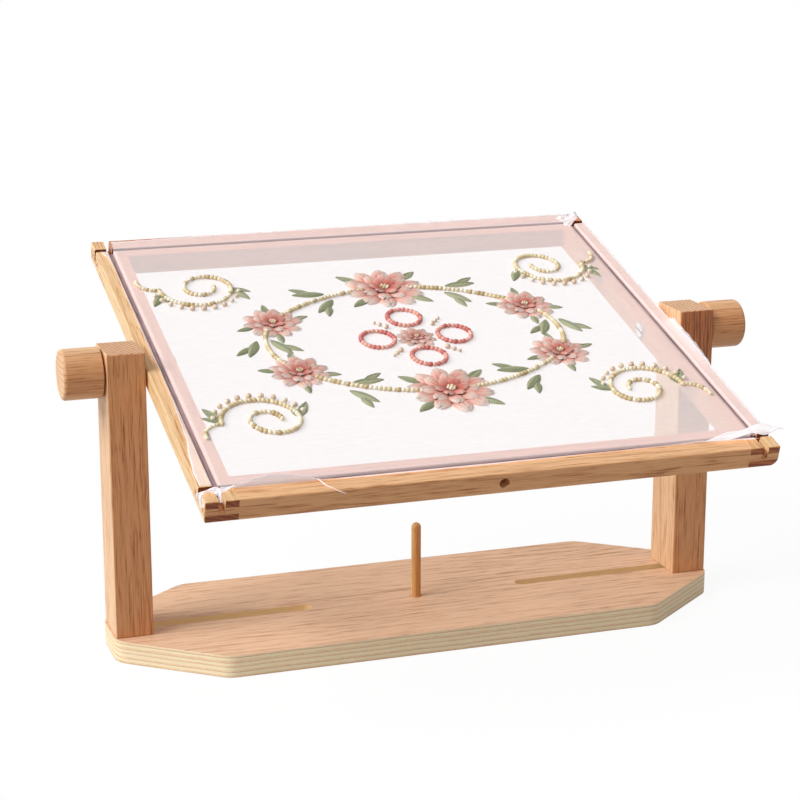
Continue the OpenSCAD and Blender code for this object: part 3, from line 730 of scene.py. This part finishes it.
def makeFlap():
    # loose edge of the right margin that hangs over the rail in front of the post
    size = {"start": -84, "end": -5, "railEdge": 224.9, "rows": 8,
            "reach": [(-84, 0.2), (-68, 3.3), (-47, 3.1), (-30, 2.0), (-22, 1.0), (-5, 1.0)],
            "drop": [(-84, 0.0), (-68, -0.6), (-47, 1.4), (-30, 3.0), (-22, 3.6), (-5, 3.8)]}
    along = np.linspace(size["start"], size["end"], 64)
    reach = eased(size["reach"], along)
    rise = eased(margins["right"]["rise"], along)
    drop = eased(size["drop"], along)
    points, rims = [], []
    for k in range(size["rows"] + 1):
        share = k / size["rows"]
        for a, r, low, high in zip(along, reach, drop, rise):
            up = 0.3 + high * (1 - share) + low * share + 0.4 * math.sin(a * 0.5) * share
            points.append(((size["railEdge"] + r * share) * mm, a * mm, up * mm))
            rims.append(max(0.0, share * 4 - 3))
    return thicken(makePiece("organza_flap", toWorld(points), gridFaces(size["rows"] + 1, len(along)),
                             organza, {"rim": rims, "fold": np.full(len(rims), 0.5)}))


print("laying the organza")
cloth = makeCloth()
flap = makeFlap()
loose = [flap] + [makeRibbon(name, given) for name, given in ribbons.items()]


# Stitching. The layout is in mm on the frame: right, back; a and b are the wreath's half axes.
wreath = {"a": 124, "b": 86, "stemAngle": 50, "large": 32, "small": 23.7, "centre": 16,
          "blossoms": [90, 270, 28, 152, 208, 332], "leaves": [59, 121, 239, 301, 0, 180]}
scrolls = {"x": 188, "y": 108, "radius": 30, "turns": 3, "ratio": 0.64}
threadTop = clothSizes["lift"] + clothSizes["thickness"] / 2 + 0.02 * mm


def petalMesh(name, strandCount, rows=15, columns=23):
    # one petal of unit length along X, domed, with the stitched strands raised along it
    points, uvs, tone = [], [], []
    for i in range(rows):
        s = i / (rows - 1)
        half = 0.36 * (0.10 + 0.90 * math.sin(math.pi * min(1, s * 0.86 + 0.06)) ** 0.75)
        half *= 1 - max(0, s - 0.82) ** 2 * 14
        for j in range(columns):
            t = 2 * j / (columns - 1) - 1
            dome = (1 - t * t) ** 0.6
            strand = math.cos(math.pi * strandCount * t) * 0.034 * (1 - abs(t)) ** 0.4
            curl = 0.35 + 0.75 * s
            notch = 0.05 * math.cos(t * 7) * s**4
            z = (0.15 * curl + strand) * dome * math.sin(math.pi * min(1, 0.12 + s * 0.84)) ** 0.5
            points.append((s + notch, half * t, z))
            uvs.append((s, (t + 1) / 2))
            tone.append(1.02 - 0.98 * s**0.85 + 0.16 * math.cos(math.pi * strandCount * t))
    return makeMesh(name, points, closedGrid(rows, columns), {"tone": tone}, uvs)


def finishTree(tree, geometry, material, result):
    realized = newOutput(tree, "GeometryNodeRealizeInstances", {"Geometry": geometry})
    smooth = newOutput(tree, "GeometryNodeSetShadeSmooth", {"Geometry": realized})
    painted = newOutput(tree, "GeometryNodeSetMaterial", {"Geometry": smooth, "Material": material})
    tree.links.new(painted, result["Geometry"])


def randomNumber(tree, low, high, seed):
    node = addNode(tree, "FunctionNodeRandomValue", data_type="FLOAT")
    for socket, value in zip([s for s in node.inputs if s.enabled], (low, high)):
        feed(socket, value)
    tree.links.new(seed, next(s for s in node.inputs if s.name == "Seed"))
    return next(s for s in node.outputs if s.enabled)


def turnedAlong(tree, direction, extra):
    aligned = newOutput(tree, "FunctionNodeAlignRotationToVector", {"Vector": direction}, axis="X")
    angles = newOutput(tree, "FunctionNodeEulerToRotation", {0: extra})
    return newOutput(tree, "FunctionNodeRotateRotation", {"Rotation": aligned, "Rotate By": angles},
                     rotation_space="LOCAL")


def tintEach(instances, seed):
    # a chance number that each bead or petal keeps
    tree = instances.id_data
    return newOutput(tree, "GeometryNodeStoreNamedAttribute", {
        "Geometry": instances, "Name": "tint", "Value": randomNumber(tree, 0.0, 1.0, seed)},
        data_type="FLOAT", domain="INSTANCE")


def makeBeadTree():
    # beads strung along a line, each leaning a little, as in a twisted cord
    tree, given, result = newTree(
        "Geometry", "beadString", ["Geometry", "Spacing", "Bead Length", "Thickness", "Slant", "Vary",
                                   "Seed", "Material"], ["Geometry"])
    curve = newOutput(tree, "GeometryNodeMeshToCurve", {"Mesh": given["Geometry"]})
    dots = newOutput(tree, "GeometryNodeResampleCurve", {"Curve": curve, "Length": given["Spacing"]},
                     mode="LENGTH")
    ball = newOutput(tree, "GeometryNodeMeshUVSphere", {"Segments": 10, "Rings": 7, "Radius": 0.5})
    shape = combine(given["Bead Length"], given["Thickness"], given["Thickness"])
    bead = newOutput(tree, "GeometryNodeTransform", {"Geometry": ball, "Scale": shape})
    lean = combine(0, 0, given["Slant"])
    turned = turnedAlong(tree, newOutput(tree, "GeometryNodeInputTangent"), lean)
    size = randomNumber(tree, minus(1.0, given["Vary"]), plus(1.0, given["Vary"]), given["Seed"])
    beads = newOutput(tree, "GeometryNodeInstanceOnPoints", {
        "Points": dots, "Instance": bead, "Rotation": turned, "Scale": size})
    tinted = tintEach(beads, given["Seed"])
    finishTree(tree, tinted, given["Material"], result)
    return tree


def makePetalTree():
    # a ring of petals that stand round a middle and lean out of it
    tree, given, result = newTree(
        "Geometry", "petalRing", ["Geometry", "Count", "Reach", "Petal Length", "Broad", "Lift", "Lean",
                                  "Offset", "Seed", "Material"], ["Geometry"])
    ring = newOutput(tree, "GeometryNodeMeshCircle", {"Vertices": given["Count"], "Radius": given["Reach"]})
    sway = randomNumber(tree, -0.09, 0.09, given["Seed"])
    lean = combine(0, given["Lean"], sway)
    turned = turnedAlong(tree, newOutput(tree, "GeometryNodeInputPosition"), lean)
    size = times(given["Petal Length"], randomNumber(tree, 0.92, 1.06, given["Seed"]))
    scale = combine(size, times(size, given["Broad"]), size)
    petals = newOutput(tree, "GeometryNodeInstanceOnPoints", {
        "Points": ring, "Instance": given["Geometry"], "Rotation": turned, "Scale": scale})
    tinted = tintEach(petals, given["Seed"])
    moved = newOutput(tree, "GeometryNodeTransform", {
        "Geometry": tinted, "Translation": combine(0, 0, given["Lift"]),
        "Rotation": combine(0, 0, given["Offset"])})
    finishTree(tree, moved, given["Material"], result)
    return tree


def runTree(tree, mesh, values):
    # the plain mesh that a tree makes of a source mesh
    holder = addObject("holder", mesh)
    modifier = holder.modifiers.new("build", "NODES")
    modifier.node_group = tree
    for item in tree.interface.items_tree:
        if item.item_type == "SOCKET" and item.in_out == "INPUT" and item.name in values:
            modifier[item.identifier] = values[item.name]
    bpy.context.view_layer.update()
    made = bpy.data.meshes.new_from_object(holder.evaluated_get(bpy.context.evaluated_depsgraph_get()))
    bpy.data.objects.remove(holder)
    return made


def movePoints(mesh, change):
    points = np.zeros(len(mesh.vertices) * 3)
    mesh.vertices.foreach_get("co", points)
    mesh.vertices.foreach_set("co", change(points.reshape(-1, 3)).ravel())


def collect(meshes, name):
    # several meshes in frame coordinates as one piece in the part's own frame
    for mesh in meshes:
        movePoints(mesh, toWorld)
    parts = [addObject(name, mesh) for mesh in meshes]
    for part in parts:
        part.select_set(True)
    piece = parts[0]
    bpy.context.view_layer.objects.active = piece
    with bpy.context.temp_override(active_object=piece, selected_editable_objects=parts,
                                   selected_objects=parts):
        bpy.ops.object.join()
    for other in bpy.context.selected_objects:
        other.select_set(False)
    piece.name = name
    return piece


def lineMesh(points, kept=None):
    mesh = bpy.data.meshes.new("line")
    edges = [(i, i + 1) for i in range(len(points) - 1) if kept is None or (kept[i] and kept[i + 1])]
    mesh.from_pydata([tuple(p) for p in points], edges, [])
    return mesh


def arc(right, back, radius, start, sweep, height):
    # points in metres along an arc given in mm and degrees
    count = max(8, int(radius * math.radians(abs(sweep)) / 1.2))
    angles = np.radians(start + sweep * np.linspace(0, 1, count))
    return np.stack([(right + radius * np.cos(angles)) * mm, (back + radius * np.sin(angles)) * mm,
                     np.full(count, height)], 1)


def scrollPoints(radius, turns, ratio, height):
    # half turns drawn in by the same ratio, from the origin
    points, x, facing = [], 0.0, 1
    for k in range(turns):
        r = radius * ratio**k
        middle = x - facing * r
        points.append(arc(middle, 0, r, 0 if facing > 0 else 180, 180, height))
        x, facing = middle - facing * r, -facing
    return np.concatenate([p if i == 0 else p[1:] for i, p in enumerate(points)])


coral = threadMaterial("coralSilk", [
    (0.0, 255, 236, 224), (0.3, 250, 206, 190), (0.55, 240, 156, 138), (0.8, 222, 112, 98),
    (1.0, 184, 70, 64)])
deepCoral = threadMaterial("deepCoralSilk", [
    (0.0, 250, 206, 188), (0.35, 238, 148, 128), (0.7, 212, 92, 80), (1.0, 170, 54, 52)])
sage = threadMaterial("sageSilk", [
    (0.0, 222, 218, 182), (0.35, 180, 182, 140), (0.65, 134, 144, 104), (1.0, 82, 98, 66)], 18.0)
goldBeads = beadMaterial("goldAndCreamBeads", [
    (0.0, 254, 248, 230), (0.35, 244, 230, 196), (0.7, 226, 204, 158), (1.0, 192, 164, 114)])
pearlBeads = beadMaterial("pearlBeads", [
    (0.0, 255, 248, 238), (0.5, 244, 228, 206), (1.0, 230, 202, 176)], 0.22)
coralBeads = beadMaterial("coralBeads", [
    (0.0, 246, 190, 174), (0.5, 224, 132, 120), (1.0, 190, 88, 82)])


def stringBeads(points, material, seed, spacing=3.5, length=4.9, thickness=3.9, slant=0.6, vary=0.08,
                kept=None):
    values = {"Spacing": spacing * mm, "Bead Length": length * mm, "Thickness": thickness * mm,
              "Slant": slant, "Vary": vary, "Seed": seed, "Material": material}
    return runTree(beadTree, lineMesh(points, kept), values)


def onePearl(spot, size, seed):
    # a line too short for a second pearl
    nudge = (spot[0] + 0.3 * mm, spot[1], spot[2])
    return stringBeads([spot, nudge], pearlBeads, seed, 1.0, size, size, 0.0, 0.05)


# count, inner radius, length, breadth, lift in mm, lean: the inner rings are deeper and stand higher
petalRings = [(10, 0.36, 0.66, 1.00, 0.0, -0.02), (8, 0.20, 0.52, 1.05, 0.7, -0.10),
              (6, 0.08, 0.36, 1.15, 1.5, -0.22)]


def blossomMeshes(right, back, radius, seed):
    made = []
    for k, (count, reach, length, broad, lift, lean) in enumerate(petalRings):
        scale = radius * mm
        inner = k == len(petalRings) - 1
        values = {"Count": count, "Reach": reach * scale, "Petal Length": length * scale, "Broad": broad,
                  "Lift": lift * mm * (0.6 + radius / 80), "Lean": lean, "Offset": 0.35 * k + seed * 0.17,
                  "Seed": seed * 5 + k, "Material": deepCoral if inner else coral}
        made.append(runTree(petalTree, innerPetal if inner else outerPetal, values))
        movePoints(made[-1], lambda points: points + [right * mm, back * mm, threadTop])
    size = {"ring": 0.09 * radius, "bead": 0.085 * radius, "spacing": 0.08 * radius}
    # seven gold knots in the middle
    knots = [(0, 0)] + [(size["ring"] * math.cos(a), size["ring"] * math.sin(a))
                        for a in np.radians(range(0, 360, 60))]
    height = threadTop + (2.2 + radius / 40) * mm
    line = [((right + x) * mm, (back + y) * mm, height) for x, y in knots]
    made.append(stringBeads(line, goldBeads, seed + 40, size["spacing"], size["bead"], size["bead"],
                            0.0, 0.1))
    return made


def leafPoints(length, width, rows, columns):
    # a leaf along X with a sunk midrib and slanting satin stitches
    points, uvs, tone = [], [], []
    height = 0.14 * width + 0.5
    stitches = round(length / 1.9)
    for i in range(rows):
        s = i / (rows - 1)
        half = width / 2 * math.sin(math.pi * (0.02 + 0.96 * s)) ** 0.8 * (1.12 - 0.3 * s)
        for j in range(columns):
            t = 2 * j / (columns - 1) - 1
            stitch = (s - 0.16 * abs(t)) * stitches
            ridge = math.cos(2 * math.pi * stitch)
            dome = (1 - t * t) ** 0.55 * math.sin(math.pi * (0.03 + 0.94 * s)) ** 0.5
            rib = 0.45 * math.exp(-((t / 0.13) ** 2))
            points.append((s * length, half * t, height * (dome * (1 + 0.16 * ridge - rib))))
            uvs.append((stitch * 0.25, (t + 1) / 2))
            tone.append(0.42 - 0.24 * ridge + 0.22 * (t > 0) - 0.12 * s + 0.5 * rib)
    return points, uvs, tone


def stepFrom(right, back, degrees, x, y):
    # the place x along a direction and y to the left of it
    c, s = math.cos(math.radians(degrees)), math.sin(math.radians(degrees))
    return right + x * c - y * s, back + x * s + y * c


def makeLeaves(name, places, rows=33, columns=15):
    # places: right, back, angle, length, width, all in mm and degrees
    points, faces, uvs, tones = [], [], [], []
    for right, back, angle, length, width in places:
        local, uv, tone = leafPoints(length, width, rows, columns)
        faces += closedGrid(rows, columns, len(points))
        for x, y, z in local:
            spot = stepFrom(right, back, angle, x, y)
            points.append((spot[0] * mm, spot[1] * mm, threadTop + z * mm))
        uvs += uv
        tones += tone
    return makePiece(name, toWorld(points), faces, sage, {"tone": tones}, uvs)


def ovalPoints(height):
    # the wreath's stem: two end arcs and two long arcs that meet without a corner
    phi = math.radians(wreath["stemAngle"])
    middle = (wreath["a"] - wreath["b"]) / (1 + math.tan(phi) - 1 / math.cos(phi))
    endRadius = wreath["a"] - middle
    longRadius = endRadius + middle / math.cos(phi)
    degrees = wreath["stemAngle"]
    arcs = [arc(middle, 0, endRadius, -degrees, 2 * degrees, height),
            arc(0, -middle * math.tan(phi), longRadius, degrees, 180 - 2 * degrees, height),
            arc(-middle, 0, endRadius, 180 - degrees, 2 * degrees, height),
            arc(0, middle * math.tan(phi), longRadius, 180 + degrees, 180 - 2 * degrees, height)]
    return np.concatenate([p if i == 0 else p[1:] for i, p in enumerate(arcs)])


def wreathPlace(degrees):
    a = math.radians(degrees)
    slope = math.degrees(math.atan2(wreath["b"] * math.cos(a), -wreath["a"] * math.sin(a)))
    return wreath["a"] * math.cos(a), wreath["b"] * math.sin(a), slope


def blossomRadius(degrees):
    return wreath["large" if degrees in (90, 270) else "small"]


def wreathLeaves():
    leaves = []
    for degrees in wreath["leaves"]:    # twigs of four leaves between the blossoms
        right, back, slope = wreathPlace(degrees)
        slope += 180 if math.cos(math.radians(degrees)) > 0 else 0
        for flip in (-1, 1):
            x, y = -13.5, flip * 5.9
            leaves.append((*stepFrom(right, back, slope, x, y), slope + flip * 26, 27, 9.2))
            leaves.append((*stepFrom(right, back, slope, x + 9, y * 2.1), slope + flip * 52, 19, 7))
    for degrees in wreath["blossoms"]:    # a pair tucked under each side of a blossom
        right, back, slope = wreathPlace(degrees)
        radius = blossomRadius(degrees)
        for flip in (-1, 1):
            for inward in (-1, 1):
                angle = slope + (0 if flip > 0 else 180) + inward * flip * 38
                spot = stepFrom(right, back, angle, radius * 0.72, 0)
                leaves.append((*spot, angle, radius * 0.66, radius * 0.27))
    return leaves


def scrollCorner(corner, u, v, height):
    # one corner's scroll with its tail, the pearls outside its first half turn, and its leaves
    reach, side = u * scrolls["x"], v * scrolls["y"]
    line = scrollPoints(scrolls["radius"], scrolls["turns"], scrolls["ratio"], height)
    scroll = line * np.array([u, -v, 1]) + np.array([reach * mm, side * mm, 0])
    tail = arc(reach, v * (scrolls["y"] + 16), 16, -90 if v > 0 else 90, u * v * 95, height)
    beads = [stringBeads(scroll, goldBeads, 10 + corner, slant=0.6 * u * -v),
             stringBeads(tail, goldBeads, 20 + corner, 3.1, 4.2, 3.2)]
    pearls, leaves = [], []
    middle = u * (scrolls["x"] - scrolls["radius"]) * mm
    away = (scrolls["radius"] + 6.2) * mm
    for k, a in enumerate(np.radians(range(14, 172, 15))):
        spot = (middle + u * away * math.cos(a), side * mm - v * away * math.sin(a), height + 0.2 * mm)
        pearls.append(onePearl(spot, 4.8 - 0.18 * abs(k - 5), 60 + k))
    for inwards, down, lean in ((2, 4, 62), (60, 2, 118)):
        x, y = u * (scrolls["x"] - inwards), v * (scrolls["y"] - down)
        toward = -v * lean if u > 0 else -v * (180 - lean)
        leaves += [(x, y, toward, 24, 8.4), (x, y, toward + 34, 17, 6.2)]
    return beads, pearls, leaves


def stitchEmbroidery():
    height = threadTop + 1.4 * mm
    petals, centres = [], []
    for seed, degrees in enumerate(wreath["blossoms"]):
        right, back = wreathPlace(degrees)[:2]
        radius = blossomRadius(degrees)
        petals += blossomMeshes(right, back, radius, seed + 1)
        centres.append((right, back, radius))
    petals += blossomMeshes(0, 0, wreath["centre"], 9)
    leaves = wreathLeaves()
    # the stem's beads stop where a blossom covers them
    stem = ovalPoints(height)
    bare = np.min([np.hypot(stem[:, 0] - x * mm, stem[:, 1] - y * mm) / (r * mm) for x, y, r in centres], 0)
    beads, pearls, corals = [stringBeads(stem, goldBeads, 3, kept=bare > 0.62)], [], []
    for corner, (u, v) in enumerate(((1, -1), (-1, -1), (1, 1), (-1, 1))):
        made = scrollCorner(corner, u, v, height)
        beads += made[0]
        pearls += made[1]
        leaves += made[2]
    away, radius = 0.38 * wreath["b"], 0.16 * wreath["b"]
    for k in range(4):    # four small rings round the middle with pearls between them
        a = math.radians(90 * k)
        ring = arc(away * math.cos(a), away * math.sin(a), radius, 0, 360, height)
        corals.append(stringBeads(ring, coralBeads, 30 + k, 3.5, 4.8, 4.0, 0.55))
        b = a + math.pi / 4
        for reach, size in ((28, 4.6), (34, 3.6), (39, 2.8)):
            spot = (reach * math.cos(b) * mm, reach * math.sin(b) * mm, height)
            pearls.append(onePearl(spot, size, 90 + k))
    return [collect(petals, "stitched_blossoms"), makeLeaves("stitched_leaves", leaves),
            collect(beads, "bead_cords"), collect(pearls, "pearls"), collect(corals, "coral_rings")]


print("stitching")
beadTree, petalTree = makeBeadTree(), makePetalTree()
outerPetal, innerPetal = petalMesh("outerPetal", 9), petalMesh("innerPetal", 7)
stitching = stitchEmbroidery()

# what moves with what
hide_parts("organza")
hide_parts("embroidery")
for piece in [cloth] + loose + stitching:
    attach(piece, "frame")
for piece in [cloth] + loose:
    # sheer cloth scatters light on through itself, so it throws no shadow of its own
    piece.visible_shadow = False
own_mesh(flap)


# Floor, light and camera
def seenDirectly(tree):
    # 1 for what the camera sees straight on, mirrored or through glass, 0 for diffuse light
    path = addNode(tree, "ShaderNodeLightPath").outputs
    return calc("MAXIMUM", path["Is Camera Ray"],
                calc("MAXIMUM", path["Is Glossy Ray"], path["Is Transmission Ray"]))


def makeFloor():
    sizes = {"reach": 40.0, "grey": 0.5, "glow": 1.1, "glowShare": 0.84}
    material, tree, shader = newMaterial("paleFloor")
    tree.nodes.remove(shader)
    lit = newOutput(tree, "ShaderNodeBsdfDiffuse", {"Color": (sizes["grey"],) * 3 + (1,)})
    white = newOutput(tree, "ShaderNodeEmission", {"Color": (1, 1, 1, 1), "Strength": sizes["glow"]})
    mixed = newOutput(tree, "ShaderNodeMixShader", {
        0: times(seenDirectly(tree), sizes["glowShare"]), 1: lit, 2: white})
    tree.links.new(mixed, tree.nodes["Material Output"].inputs[0])
    corners = [(x * sizes["reach"], y * sizes["reach"], 0) for x, y in ((-1, -1), (1, -1), (1, 1), (-1, 1))]
    makePiece("floor", corners, [(0, 1, 2, 3)], material, smooth=False)


def makeWorld():
    # diffuse light comes mostly from above, behind and the left, as from a large softbox
    softbox = {"direction": (-0.60, 0.10, 0.79), "level": 0.50, "even": 0.55}
    world = bpy.data.worlds.new("studio")
    bpy.context.scene.world = world
    world.use_nodes = True
    tree = world.node_tree
    seen = seenDirectly(tree)
    place = addNode(tree, "ShaderNodeTexCoord").outputs["Generated"]
    toward = addNode(tree, "ShaderNodeVectorMath", {0: place, 1: softbox["direction"]},
                     operation="DOT_PRODUCT").outputs["Value"]
    amount = times(plus(times(toward, 1 - softbox["even"]), softbox["even"]), softbox["level"])
    background = tree.nodes["Background"].inputs
    feed(background[0], (1, 1, 1, 1))
    feed(background[1], plus(times(amount, minus(1.0, seen)), seen))


def makeSun(name, direction, strength, spread):
    sun = addObject(name, bpy.data.lights.new(name, "SUN"))
    sun.data.energy = strength
    sun.data.angle = math.radians(spread)
    sun.rotation_mode = "QUATERNION"
    sun.rotation_quaternion = Vector(direction).to_track_quat("Z", "Y")


def makeCamera():
    sizes = {"place": (-0.54868, -1.58144, 0.62599), "pitch": 14.73, "heading": -18.71,
             "focalPixels": 2121.1, "imagePixels": 800}
    camera = addObject("camera", bpy.data.cameras.new("camera"))
    camera.data.sensor_width = 36.0
    camera.data.lens = camera.data.sensor_width * sizes["focalPixels"] / sizes["imagePixels"]
    camera.location = sizes["place"]
    camera.rotation_euler = (math.radians(90 - sizes["pitch"]), 0, math.radians(sizes["heading"]))
    bpy.context.scene.camera = camera


makeFloor()
makeWorld()
makeSun("key", (-0.74, -0.08, 0.67), 2.5, 38)
makeCamera()
bpy.context.scene.view_settings.view_transform = "Standard"
bpy.context.view_layer.update()
print("scene ready")
